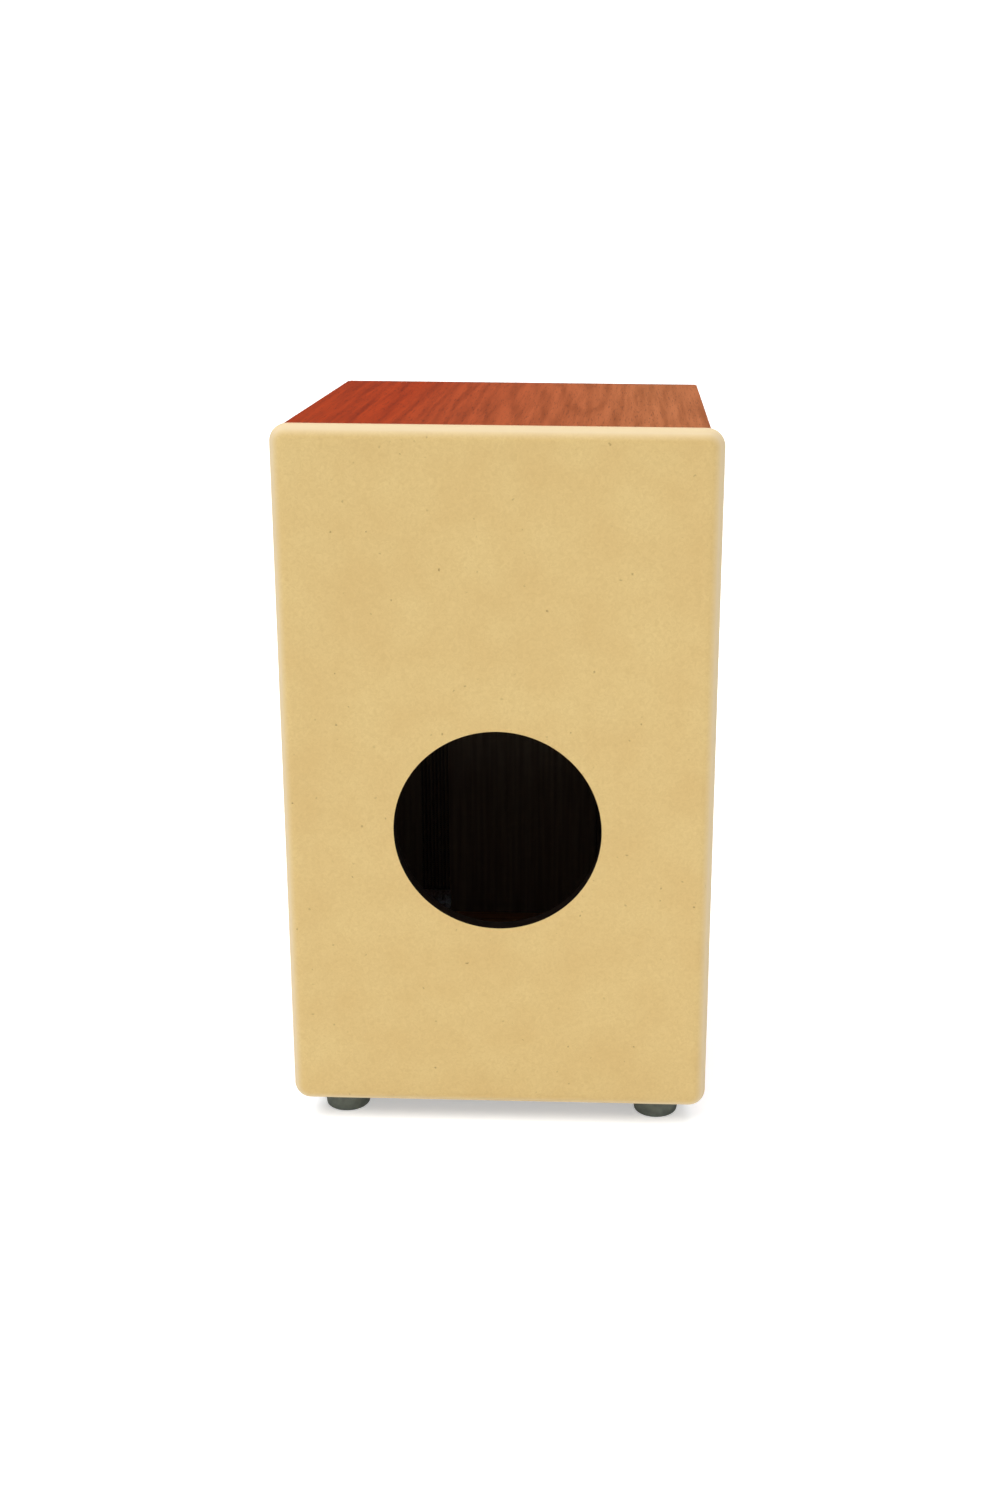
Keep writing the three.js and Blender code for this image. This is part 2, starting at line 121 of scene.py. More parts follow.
# %% [markdown]
# ## The studio
#
# The drum stands on a table of white acrylic that is lit from below, so there is almost no shadow:
# only a soft grey where the feet and the lower edge come close to it. Above it are a pale dome and a
# very wide overhead source. The dome is dark low down on the far side, because a lacquered top shows
# whatever stands behind it, and would lose its colour in front of a white wall. One soft panel on the
# far side brightens one end of the top.

# %% Add a node, and spread a value
def add(tree, kind, inputs=None, **settings):
    """Add a node of a kind. An input takes a value or another node's socket."""
    made = tree.nodes.new(kind)
    for name, value in settings.items():
        setattr(made, name, value)
    for name, value in (inputs or {}).items():
        if isinstance(value, bpy.types.NodeSocket):
            tree.links.new(value, made.inputs[name])
        else:
            made.inputs[name].default_value = value
    return made


def between(tree, value, low, high, to_low=0.0, to_high=1.0):
    """A value spread from one range to another, and held at the ends."""
    node = add(tree, "ShaderNodeMapRange", {
        "Value": value, "From Min": low, "From Max": high, "To Min": to_low, "To Max": to_high})
    return node.outputs[0]


# %% The dome of light
DOME_STRENGTH = 0.34
BACKDROP_STRENGTH = 1.1
FAR_SIDE_DIMMING = 0.9  # of the dome, low down on the far side
LOW_FROM, LOW_TO = 0.8, 0.15  # heights on a dome of radius 1 between which the dimming sets in
FAR_FROM, FAR_TO = 0.0, -0.6  # and the same towards the far side

world = bpy.data.worlds.new("studio")
bpy.context.scene.world = world
world.use_nodes = True
sky = world.node_tree
sky.nodes.clear()
seen = add(sky, "ShaderNodeLightPath")
direction = add(sky, "ShaderNodeSeparateXYZ", {0: add(sky, "ShaderNodeTexCoord").outputs["Generated"]})
low_down = between(sky, direction.outputs["Z"], LOW_FROM, LOW_TO)
far_side = between(sky, direction.outputs["Y"], FAR_FROM, FAR_TO)
dimmed = add(sky, "ShaderNodeMath", {0: low_down, 1: far_side}, operation="MULTIPLY")
strength = between(sky, dimmed.outputs[0], 0, 1, DOME_STRENGTH, DOME_STRENGTH * (1 - FAR_SIDE_DIMMING))
lit = add(sky, "ShaderNodeBackground", {"Color": linear("#fdfdff"), "Strength": strength})
white = add(sky, "ShaderNodeBackground", {"Color": (1, 1, 1, 1), "Strength": BACKDROP_STRENGTH})
either = add(sky, "ShaderNodeMixShader", {
    0: seen.outputs["Is Camera Ray"], 1: lit.outputs[0], 2: white.outputs[0]})
add(sky, "ShaderNodeOutputWorld", {"Surface": either.outputs[0]})
bpy.context.scene.view_settings.view_transform = "Standard"
print("dome strength", DOME_STRENGTH)

# %% The lamps
def lamp(name, kind, place, towards, energy, **settings):
    """A light that shines from a place towards a point."""
    data = bpy.data.lights.new(name, kind)
    data.energy = energy
    for key, value in settings.items():
        setattr(data, key, value)
    made = bpy.data.objects.new(name, data)
    made.location = place
    made.rotation_euler = (Vector(towards) - Vector(place)).to_track_quat("-Z", "Y").to_euler()
    bpy.context.scene.collection.objects.link(made)
    return made


MIDDLE = (0, 0, 0.25)
TOP_EDGE = (-0.1, 0, 0.5)
OVERHEAD_STRENGTH = 3.15
OVERHEAD_SPREAD = radians(75)
REAR_PANEL_WATTS = 16
lamp("overhead", "SUN", (0.6, 0.45, 3.0), MIDDLE, OVERHEAD_STRENGTH, angle=OVERHEAD_SPREAD)
lamp("rear_panel", "AREA", (-1.3, -2.2, 1.3), TOP_EDGE, REAR_PANEL_WATTS,
     shape="RECTANGLE", size=1.4, size_y=1.2)

# %% The lit table
FLOOR_HALF_WIDTH = 14
TABLE_GLOW = 0.43  # as it is seen
TABLE_LIGHT = 0.18  # what of it reaches the drum


def studio_floor():
    """A plain white table, far wider than the view."""
    bm = bmesh.new()
    bmesh.ops.create_grid(bm, x_segments=2, y_segments=2, size=FLOOR_HALF_WIDTH)
    mesh = bpy.data.meshes.new("floor")
    bm.to_mesh(mesh)
    bm.free()
    floor = bpy.data.objects.new("floor", mesh)
    bpy.context.scene.collection.objects.link(floor)
    acrylic = bpy.data.materials.new("white_acrylic_lit_from_below")
    acrylic.use_nodes = True
    tree = acrylic.node_tree
    shader = tree.nodes["Principled BSDF"]
    shader.inputs["Base Color"].default_value = linear("#f2f3f3")
    shader.inputs["Roughness"].default_value = 0.9
    shader.inputs["Specular IOR Level"].default_value = 0.1
    shader.inputs["Emission Color"].default_value = linear("#ffffff")
    looked_at = add(tree, "ShaderNodeLightPath").outputs["Is Camera Ray"]
    glow = between(tree, looked_at, 0, 1, TABLE_LIGHT, TABLE_GLOW)
    tree.links.new(glow, shader.inputs["Emission Strength"])
    mesh.materials.append(acrylic)
    floor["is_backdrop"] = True
    return floor


studio_floor()
print("floor is", 2 * FLOOR_HALF_WIDTH, "m wide")

# %% [markdown]
# ## Materials
#
# Every material starts the same way: a principled shader, and coordinates in metres from the frame, so
# a pattern has its real size and stays on its piece. Bump is worked out from the same patterns that
# colour the surface.

# %% Start a material
def begin(name, roughness, metallic=0.0, specular=0.5):
    """A new material, with its tree, its shader and its coordinates."""
    material = bpy.data.materials.new(name)
    material.use_nodes = True
    tree = material.node_tree
    shader = tree.nodes["Principled BSDF"]
    shader.inputs["Roughness"].default_value = roughness
    shader.inputs["Metallic"].default_value = metallic
    shader.inputs["Specular IOR Level"].default_value = specular
    place = add(tree, "ShaderNodeTexCoord").outputs["Object"]
    return material, tree, shader, place


def mixed(tree, share, first, second):
    """Two colours mixed, each a socket or a linear colour."""
    node = add(tree, "ShaderNodeMix", {0: share, 6: first, 7: second}, data_type="RGBA")
    return node.outputs[2]


def raise_surface(tree, shader, height, depth_mm, strength=1.0):
    """Bump from a height of 0 to 1 that stands for a real depth."""
    bump = add(tree, "ShaderNodeBump", {"Height": height, "Distance": depth_mm * MM, "Strength": strength})
    tree.links.new(bump.outputs[0], shader.inputs["Normal"])


print("material helpers ready")

# %% [markdown]
# ### Medium-density fibreboard
#
# The back panel is fibreboard: wood fibre and resin pressed flat, sanded, and sealed with a thin matt
# coat. The eye sees an even straw colour with slow, faint clouds, a fine felt of fibres, and now and
# then a short brown fleck of bark. Where the edge was routed round, the paler core shows, and a painted
# sheen of the sealer whitens it further. The fibres are a tenth of a millimetre wide in the real board.
# They are drawn coarser, or they would average out.

# %% Fibreboard
CLOUD_MM = 38
FELT_MM = 3.2
FLECK_SPACING_MM = 8
FLECK_SIZE = 0.13  # of the spacing
FLECK_SHARE = 0.6  # the cells above this share hold a fleck
FLECK_BEND_MM = 3  # how far noise of the same size pulls the flecks out of round


def fibreboard():
    material, tree, shader, place = begin("fibreboard_sealed_matt", 0.62, specular=0.35)
    clouds = add(tree, "ShaderNodeTexNoise", {"Vector": place, "Scale": per_metre(CLOUD_MM), "Detail": 3.0})
    felt = add(tree, "ShaderNodeTexNoise", {
        "Vector": place, "Scale": per_metre(FELT_MM), "Detail": 5.0, "Roughness": 0.72, "Distortion": 1.4})
    straw = mixed(tree, between(tree, clouds.outputs[0], 0.3, 0.7), linear("#d7b879"), linear("#ddc182"))
    felted = mixed(tree, between(tree, felt.outputs[0], 0.36, 0.62), linear("#c8a76b"), straw)
    softened = mixed(tree, 0.45, straw, felted)
    drift = add(tree, "ShaderNodeTexNoise", {
        "Vector": place, "Scale": per_metre(FLECK_BEND_MM), "Detail": 1.0})
    pull = add(tree, "ShaderNodeVectorMath", {
        0: drift.outputs["Color"], 1: (FLECK_BEND_MM * MM,) * 3}, operation="MULTIPLY")
    bent = add(tree, "ShaderNodeVectorMath", {0: place, 1: pull.outputs[0]}, operation="ADD")
    cells = add(tree, "ShaderNodeTexVoronoi", {
        "Vector": bent.outputs[0], "Scale": per_metre(FLECK_SPACING_MM)})
    draw = add(tree, "ShaderNodeSeparateColor", {0: cells.outputs["Color"]})
    near = between(tree, cells.outputs["Distance"], FLECK_SIZE, FLECK_SIZE * 0.3)
    chosen = between(tree, draw.outputs[0], FLECK_SHARE, 1.0)
    fleck = add(tree, "ShaderNodeMath", {0: near, 1: chosen}, operation="MULTIPLY")
    flecked = mixed(tree, fleck.outputs[0], softened, linear("#9b7c45"))
    facing = add(tree, "ShaderNodeNewGeometry")
    sides = add(tree, "ShaderNodeSeparateXYZ", {0: facing.outputs["Normal"]})
    # Partly real, partly painted sheen: faces that turn away from the flat take a paler colour, the bare
    # core plus a painted sheen of the sealer.
    cut_core_and_sheen = between(tree, sides.outputs["Y"], 0.97, 0.7)
    finished = mixed(tree, cut_core_and_sheen, flecked, linear("#dcc69d"))
    tree.links.new(finished, shader.inputs["Base Color"])
    raise_surface(tree, shader, felt.outputs[0], 0.05, 0.6)
    return material


FIBREBOARD = fibreboard()
print("made", FIBREBOARD.name)

# %% [markdown]
# ### Stained fibreboard
#
# The wall of the sound hole is brushed with a thin black-brown stain, so that the hole looks like one
# dark disc from every side. The raw board drinks the stain unevenly, and stays dull.

# %% Stained fibreboard
STAIN_MM = 6


def stained_fibreboard():
    material, tree, shader, place = begin("fibreboard_stained_black_brown", 0.9, specular=0.05)
    brushed = add(tree, "ShaderNodeTexNoise", {
        "Vector": place, "Scale": per_metre(STAIN_MM), "Detail": 4.0, "Roughness": 0.65, "Distortion": 0.8})
    soaked = between(tree, brushed.outputs[0], 0.35, 0.65)
    brown = mixed(tree, soaked, linear("#0b0705"), linear("#1a110c"))
    tree.links.new(brown, shader.inputs["Base Color"])
    raise_surface(tree, shader, brushed.outputs[0], 0.06, 0.5)
    return material


STAINED_FIBREBOARD = stained_fibreboard()
print("made", STAINED_FIBREBOARD.name)

# %% [markdown]
# ### Lacquered veneer
#
# The box is faced with a reddish hardwood veneer under satin lacquer. Its rings were cut through
# lengthwise, so they show as long nested arches in the middle and straight lines at the sides. The top
# board goes from its red wood at one side to a paler painted sheen of the lacquer at the other. Fine
# dark pores run with the grain, and the lacquer over them is smooth. The pattern is a set of stretched
# rings, bent a little by slow noise, and each board starts at another place in the tree. Real pores are
# about 0.2 mm wide, and they are drawn four times as wide so that they still show.

# %% Turn a pattern to the grain
def along_grain(tree, place, turn, offset, across_mm, along_mm):
    """Coordinates turned so that the grain runs along Y, and scaled to a size across and along it."""
    turned = add(tree, "ShaderNodeMapping", {"Vector": place, "Location": offset, "Rotation": turn})
    across, along = per_metre(across_mm), per_metre(along_mm)
    sized = add(tree, "ShaderNodeMapping", {"Vector": turned.outputs[0], "Scale": (across, along, across)})
    return sized.outputs[0]


FRONT_TO_BACK = Euler((0, 0, 0))
SIDE_TO_SIDE = Euler((0, 0, radians(90)))
UPRIGHT_ON_THE_FRONT = Euler((radians(-90), 0, 0))
UPRIGHT_ON_A_SIDE = Matrix(((0, 1, 0), (0, 0, 1), (1, 0, 0))).to_euler()

# %% Veneer
BEND_MM = (60, 380)  # every pair is a size across the grain and along it
RING_MM = (40, 560)
STREAK_MM = (5, 170)
PORE_MM = (0.8, 16)
BEND = 0.8
STREAKS_SHARE = 0.72  # of the colour, the rest comes from the rings
METRE_MM = (1000, 1000)
# The painted sheen is set to start far outside every board, so it never shows on them.
NO_SHEEN = (10, 20)  # far outside the board


def veneer(name, heart, sheen_colours, pore, turn, offset, roughness, sheen_side=NO_SHEEN):
    """Veneer that turns from its wood colours to a painted sheen between two places across it, in metres.
    """
    material, tree, shader, place = begin(name, roughness, specular=0.12)
    bend = add(tree, "ShaderNodeTexNoise", {
        "Vector": along_grain(tree, place, turn, offset, *BEND_MM), "Scale": 1.0, "Detail": 2.0})
    bent = add(tree, "ShaderNodeVectorMath", {
        0: bend.outputs["Color"], 1: (BEND,) * 3}, operation="MULTIPLY")
    start = along_grain(tree, place, turn, offset, *RING_MM)
    rings_at = add(tree, "ShaderNodeVectorMath", {0: start, 1: bent.outputs[0]}, operation="ADD")
    rings = add(tree, "ShaderNodeTexWave", {
        "Vector": rings_at.outputs[0], "Scale": 0.9, "Distortion": 0.9, "Detail": 3.0, "Detail Scale": 1.4,
        "Detail Roughness": 0.6}, wave_type="RINGS", rings_direction="Z", wave_profile="SIN")
    streaks = add(tree, "ShaderNodeTexNoise", {
        "Vector": along_grain(tree, place, turn, offset, *STREAK_MM), "Scale": 1.0, "Detail": 4.0,
        "Roughness": 0.6})
    pores = add(tree, "ShaderNodeTexNoise", {
        "Vector": along_grain(tree, place, turn, offset, *PORE_MM), "Scale": 1.0, "Detail": 3.0})
    metres = along_grain(tree, place, turn, (0, 0, 0), *METRE_MM)
    across = add(tree, "ShaderNodeSeparateXYZ", {0: metres})
    # Painted sheen: the share of the paler colours grows towards one side of the board, standing in for a
    # reflection in the lacquer.
    sheen_share = between(tree, across.outputs["X"], *sheen_side)
    pale = mixed(tree, sheen_share, linear(heart[1]), linear(sheen_colours[1]))
    deep = mixed(tree, sheen_share, linear(heart[0]), linear(sheen_colours[0]))
    ringed = mixed(tree, between(tree, rings.outputs[1], 0.45, 0.98), pale, deep)
    streaked = mixed(tree, between(tree, streaks.outputs[0], 0.36, 0.62), deep, pale)
    wood = mixed(tree, STREAKS_SHARE, ringed, streaked)
    depth = between(tree, pores.outputs[0], 0.42, 0.34, 0, 0.45)
    tree.links.new(mixed(tree, depth, wood, linear(pore)), shader.inputs["Base Color"])
    raise_surface(tree, shader, pores.outputs[0], 0.03, 0.25)
    return material


# The second pair is a painted sheen: the paler colours that the top board takes towards one side.
HEARTWOOD = ("#8f2d08", "#b23d0f")
PAINTED_SHEEN = ("#9d562b", "#bd6f42")
PORE = "#3c150a"
# The seat turns to the painted sheen between 0.08 m and -0.1 m across it.
SEAT_VENEER = veneer("seat_veneer_lacquered", HEARTWOOD, PAINTED_SHEEN, PORE, FRONT_TO_BACK,
                     (0.035, 0.02, 0.3), 0.36, sheen_side=(0.08, -0.1))
SIDE_VENEER = veneer("side_veneer_lacquered", HEARTWOOD, PAINTED_SHEEN, PORE, UPRIGHT_ON_A_SIDE,
                     (0.02, -0.1, 0.11), 0.36)
FRONT_VENEER = veneer("front_plate_veneer_lacquered", HEARTWOOD, PAINTED_SHEEN, PORE, UPRIGHT_ON_THE_FRONT,
                      (0.03, -0.12, 0.12), 0.32)
print("made", SEAT_VENEER.name, SIDE_VENEER.name, FRONT_VENEER.name)

# %% [markdown]
# ### Inside the box, and the battens
#
# Nobody sees the chamber except through the hole, so its faces carry a dull brown backing veneer with
# no lacquer. So little light gets in that the hole reads as black. The underside has a greyer oiled
# veneer. The battens are planed softwood, with a straight grain and no finish.

# %% Backing veneer and softwood
def dull_wood(name, dark, light, turn, across_mm, along_mm):
    """Unlacquered wood with a straight grain of a size across and along it."""
    material, tree, shader, place = begin(name, 0.8, specular=0.15)
    turned = along_grain(tree, place, turn, (0, 0, 0), across_mm, along_mm)
    grain = add(tree, "ShaderNodeTexNoise", {"Vector": turned, "Scale": 1.0, "Detail": 4.0})
    share = between(tree, grain.outputs[0], 0.35, 0.65)
    tree.links.new(mixed(tree, share, linear(dark), linear(light)), shader.inputs["Base Color"])
    raise_surface(tree, shader, grain.outputs[0], 0.05, 0.4)
    return material


BACKING_MM = (3, 90)
UNDERSIDE_MM = (5, 150)
SOFTWOOD_MM = (4, 180)
BACKING = dull_wood("brown_backing_veneer", "#6b5d50", "#7d6f60", UPRIGHT_ON_THE_FRONT, *BACKING_MM)
FLOOR_BACKING = dull_wood("brown_backing_veneer_of_the_floor", "#7f5b4a", "#936c59", FRONT_TO_BACK,
                          *BACKING_MM)
UNDERSIDE = dull_wood("underside_veneer_oiled", "#5f564a", "#7a7062", SIDE_TO_SIDE, *UNDERSIDE_MM)
BATTEN_WOOD = dull_wood("softwood_planed_front_to_back", "#a06f4b", "#c08f65", FRONT_TO_BACK, *SOFTWOOD_MM)
BAR_WOOD = dull_wood("softwood_planed_side_to_side", "#a06f4b", "#c08f65", SIDE_TO_SIDE, *SOFTWOOD_MM)
print("made", BACKING.name, FLOOR_BACKING.name, UNDERSIDE.name, BATTEN_WOOD.name, BAR_WOOD.name)

# %% [markdown]
# ### Rubber and steel
#
# The feet are moulded rubber, dark grey with a faint bloom and the fine grain of a blasted mould, which
# is drawn coarser than its real tenth of a millimetre. The screws of the front plate and the tension
# bolts are steel with a black oxide. Washers and hidden screws are bright zinc plate, whose crystals
# give small patches of lighter and darker grey. The patches are drawn coarser too. The snare wire is
# spring steel, blued by its heat treatment, so each set shows as a dark band inside the hole.

# %% Rubber
BLOOM_MM = 9
GRIT_MM = 0.7


def rubber():
    material, tree, shader, place = begin("moulded_rubber", 0.72, specular=0.35)
    bloom = add(tree, "ShaderNodeTexNoise", {"Vector": place, "Scale": per_metre(BLOOM_MM), "Detail": 4.0})
    grit = add(tree, "ShaderNodeTexNoise", {"Vector": place, "Scale": per_metre(GRIT_MM), "Detail": 2.0})
    grey = mixed(tree, between(tree, bloom.outputs[0], 0.35, 0.7), linear("#565c54"), linear("#6e746b"))
    tree.links.new(grey, shader.inputs["Base Color"])
    raise_surface(tree, shader, grit.outputs[0], 0.04, 0.7)
    return material


# %% Steel
def steel(name, dark, light, roughness, patch_mm):
    """Plated or blued steel, in patches of two greys that also differ in gloss."""
    material, tree, shader, place = begin(name, roughness, metallic=1.0)
    patches = add(tree, "ShaderNodeTexNoise", {
        "Vector": place, "Scale": per_metre(patch_mm), "Detail": 3.0})
    share = between(tree, patches.outputs[0], 0.35, 0.65)
    tree.links.new(mixed(tree, share, linear(dark), linear(light)), shader.inputs["Base Color"])
    gloss = between(tree, share, 0, 1, roughness * 0.85, roughness * 1.2)
    tree.links.new(gloss, shader.inputs["Roughness"])
    raise_surface(tree, shader, patches.outputs[0], 0.01, 0.3)
    return material


RUBBER = rubber()
ZINC = steel("zinc_plated_steel", "#9fa3a8", "#c6c9cd", 0.34, 1.6)
BLACK_OXIDE = steel("black_oxide_steel", "#1d1d1f", "#323335", 0.42, 1.2)
SPRING_WIRE = steel("blued_spring_steel", "#34363b", "#4c4e54", 0.34, 0.9)
print("made", RUBBER.name, ZINC.name, BLACK_OXIDE.name, SPRING_WIRE.name)

# %% [markdown]
# ## From a mesh to a finished piece
#
# Every piece ends the same way: its doubles are merged, its faces are turned outwards, and edges that
# turn sharply stay sharp. It takes the place of its plain node and rides on that node's body. Large flat
# faces then set the shading of the boards, so that they look flat right up to a rounded edge.

# %% Finish a piece
SHARP = radians(32)


def as_piece(bm, node, materials, body="box", paint=None):
    """Turn a bmesh into the finished piece that stands for a node."""
    bmesh.ops.remove_doubles(bm, verts=bm.verts[:], dist=1e-6)
    bmesh.ops.recalc_face_normals(bm, faces=bm.faces[:])
    for face in bm.faces:
        face.smooth = True
        face.material_index = paint(face) if paint else 0
    for edge in bm.edges:
        edge.smooth = edge.is_manifold and edge.calc_face_angle() < SHARP
    mesh = bpy.data.meshes.new(node + "_finished")
    bm.to_mesh(mesh)
    bm.free()
    for material in materials:
        mesh.materials.append(material)
    piece = bpy.data.objects.new(node + "_finished", mesh)
    bpy.context.scene.collection.objects.link(piece)
    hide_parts(node)
    if body:
        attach(piece, body)
    return piece


def even_normals(piece):
    """Let large flat faces set the shading, so that it stays flat up to a rounded edge."""
    weighted = piece.modifiers.new("even_normals", "WEIGHTED_NORMAL")
    weighted.keep_sharp = True


def triangles(piece):
    """How many triangles a piece has."""
    return sum(len(polygon.vertices) - 2 for polygon in piece.data.polygons)


print("edges sharper than", round(degrees(SHARP)), "degrees stay sharp")

# %% [markdown]
# ## Drilled sheets
#
# The back panel, the front plate and the bottom board are all flat sheets with round holes, so one
# function makes them. A boolean would also cut the holes, but it leaves ragged faces. Here the sheet
# starts as one face whose corners are bevelled round. It is extruded, its two rims are bevelled, and
# then both flat faces are taken off and filled again between the rim and the rings of the holes.
# A hole is a list of radii and depths, so a countersink or a counterbore is only a longer list.

# %% A sheet with rounded corners and rims
def rounded_sheet(width, height, thickness, corner, rims, steps):
    """A sheet on Z = 0, thick along +Z. rims are the roundings of the face at 0 and of the other face."""
    bm = bmesh.new()
    signs = ((-1, -1), (1, -1), (1, 1), (-1, 1))
    points = [bm.verts.new((u * width / 2, v * height / 2, 0)) for u, v in signs]
    bm.faces.new(points)
    bmesh.ops.bevel(bm, geom=points, offset=corner, segments=steps, profile=0.5, affect="VERTICES",
                    material=-1)
    grown = bmesh.ops.extrude_face_region(bm, geom=bm.faces[:])["geom"]
    lifted = [part for part in grown if isinstance(part, bmesh.types.BMVert)]
    bmesh.ops.translate(bm, verts=lifted, vec=(0, 0, thickness))
    bm.normal_update()
    for level, rim in ((0, rims[0]), (thickness, rims[1])):
        edges = flat_face(bm, level).edges[:]
        bmesh.ops.bevel(bm, geom=edges, offset=rim, segments=steps, profile=0.5, affect="EDGES",
                        material=-1, clamp_overlap=False)
    return bm


def flat_face(bm, level):
    """The largest face that lies at a level."""
    found = [face for face in bm.faces if all(abs(vert.co.z - level) < 1e-7 for vert in face.verts)]
    return max(found, key=lambda face: face.calc_area())


# %% Holes through a sheet
def ring_edges(verts):
    """The edges that join these vertices to each other."""
    kept = set(verts)
    return list({edge for vert in verts for edge in vert.link_edges if edge.other_vert(vert) in kept})


def hole_rings(bm, u, v, profile, sides):
    """The wall of a round hole. Returns the edges of its first and last ring."""
    (radius, depth), *rest = profile
    place = Matrix.Translation((u, v, depth))
    circle = bmesh.ops.create_circle(bm, segments=sides, radius=radius, matrix=place)
    first = ring = ring_edges(circle["verts"])
    for next_radius, next_depth in rest:
        grown = bmesh.ops.extrude_edge_only(bm, edges=ring)["geom"]
        verts = [part for part in grown if isinstance(part, bmesh.types.BMVert)]
        size = next_radius / radius
        about = Matrix.Translation((-u, -v, 0))
        bmesh.ops.scale(bm, verts=verts, vec=(size, size, 1), space=about)
        bmesh.ops.translate(bm, verts=verts, vec=(0, 0, next_depth - depth))
        ring = [part for part in grown if isinstance(part, bmesh.types.BMEdge)]
        radius, depth = next_radius, next_depth
    return first, ring


def drill(bm, thickness, holes, sides):
    """Open holes in both flat faces. Each hole is (u, v, [(radius, depth), ...])."""
    rims = [], []
    for level, rim in zip((0, thickness), rims):
        face = flat_face(bm, level)
        rim.extend(face.edges)
        bmesh.ops.delete(bm, geom=[face], context="FACES_ONLY")
    for u, v, profile in holes:
        for rim, ring in zip(rims, hole_rings(bm, u, v, profile, sides)):
            rim.extend(ring)
    for rim in rims:
        bmesh.ops.triangle_fill(bm, edges=rim, use_beauty=True)
    return bm


print("sheet helpers ready")

# %% [markdown]
# ## The back panel
#
# A fibreboard panel, wider than the box, with a rounded edge that the hands meet when the drum is
# carried. The rounding is 10 mm on the outer face only, and the corners are rounded to 12 mm. The
# sound hole was cut with a router, and its edge is only just broken with sandpaper. Its wall takes the
# stained material, and every other face of the panel stays plain.

# %% Make the back panel
PANEL_CORNER = 12 * MM
PANEL_ROUNDING = 10 * MM
PANEL_STEPS = 14
SANDED_EDGE = 0.4 * MM
HOLE_RADIUS = 72 * MM
HOLE_ABOVE_PANEL_FOOT = 211.5 * MM
HOLE_FACETS = 144
SQUARE_ON = 0.9  # a flat face's normal points further than this along one axis


def standing(x, y, z, inwards):
    """Places a sheet upright, with its width along X, its height along Z and its thickness inwards."""
    return Matrix(((1, 0, 0, x), (0, 0, inwards, y), (0, 1, 0, z), (0, 0, 0, 1)))


def back_panel():
    low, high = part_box("back_panel")
    width, thickness, height = high - low
    rims = (PANEL_ROUNDING, SANDED_EDGE)
    bm = rounded_sheet(width, height, thickness, PANEL_CORNER, rims, PANEL_STEPS)
    hole = [(HOLE_RADIUS + SANDED_EDGE, 0), (HOLE_RADIUS, SANDED_EDGE),
            (HOLE_RADIUS, thickness - SANDED_EDGE), (HOLE_RADIUS + SANDED_EDGE, thickness)]
    drill(bm, thickness, [(0, HOLE_ABOVE_PANEL_FOOT - height / 2, hole)], HOLE_FACETS)
    bmesh.ops.transform(bm, matrix=standing(0, high.y, (low.z + high.z) / 2, -1), verts=bm.verts[:])
    hole_centre = Vector((0, low.z + HOLE_ABOVE_PANEL_FOOT))

    def stained(face):
        """1 on the wall of the sound hole, and 0 elsewhere."""
        at = face.calc_center_median()
        in_the_hole = (Vector((at.x, at.z)) - hole_centre).length < HOLE_RADIUS + SANDED_EDGE
        return int(in_the_hole and abs(face.normal.y) < SQUARE_ON)

    piece = as_piece(bm, "back_panel", [FIBREBOARD, STAINED_FIBREBOARD], paint=stained)
    even_normals(piece)
    return piece


BACK_PANEL = back_panel()
print("back panel:", triangles(BACK_PANEL), "triangles")

# %% [markdown]
# ## The boards of the box
#
# The top, side and bottom boards are veneered panels with square edges, eased by one pass of fine
# paper. Each is a block with bevelled edges. The faces that look into the chamber take the dark
# backing veneer.

# %% Make the top and side boards
EASED = 0.7 * MM
EASED_STEPS = 3
CHAMBER_MIDDLE = (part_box("left_side_board")[0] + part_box("right_side_board")[1]) / 2


def inner_face(face):
    """1 where a face of a board looks into the chamber, and 0 elsewhere."""
    towards = CHAMBER_MIDDLE - face.calc_center_median()
    widest = max(range(3), key=lambda axis: abs(face.normal[axis]))
    across = abs(face.normal[widest]) > SQUARE_ON and widest != 1
    return int(across and face.normal[widest] * towards[widest] > 0)


def eased_block(low, high, easing):
    """A block between two corners, with its edges eased."""
    bm = bmesh.new()
    bmesh.ops.create_cube(bm, size=1)
    bmesh.ops.scale(bm, verts=bm.verts[:], vec=high - low)
    bmesh.ops.translate(bm, verts=bm.verts[:], vec=(low + high) / 2)
    bmesh.ops.bevel(bm, geom=bm.edges[:], offset=easing, segments=EASED_STEPS, profile=0.5,
                    affect="EDGES", material=-1)
    return bm


def board(node, material):
    bm = eased_block(*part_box(node), EASED)
    piece = as_piece(bm, node, [material, BACKING], paint=inner_face)
    even_normals(piece)
    return piece


for node, material in (("top_board", SEAT_VENEER), ("left_side_board", SIDE_VENEER),
                       ("right_side_board", SIDE_VENEER)):
    print(node, triangles(board(node, material)), "triangles")

# %% [markdown]
# ## The bottom board
#
# Seen from below, the bottom board has two counterbores near its front edge, where a key reaches the
# tension bolts. The holes of the foot screws are hidden by the feet. The underside is only oiled, but
# the outer edges are lacquered like the rest of the box.

# %% Make the bottom board
SIDES = ("left", "right")
COUNTERBORE_RADIUS = 6.2 * MM
COUNTERBORE_DEPTH = 7 * MM
BOLT_CLEARANCE_RADIUS = 2.7 * MM
BOLT_HOLE_FACETS = 40


def centre(node):
    """The middle of a node's box."""
    low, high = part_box(node)
    return (low + high) / 2


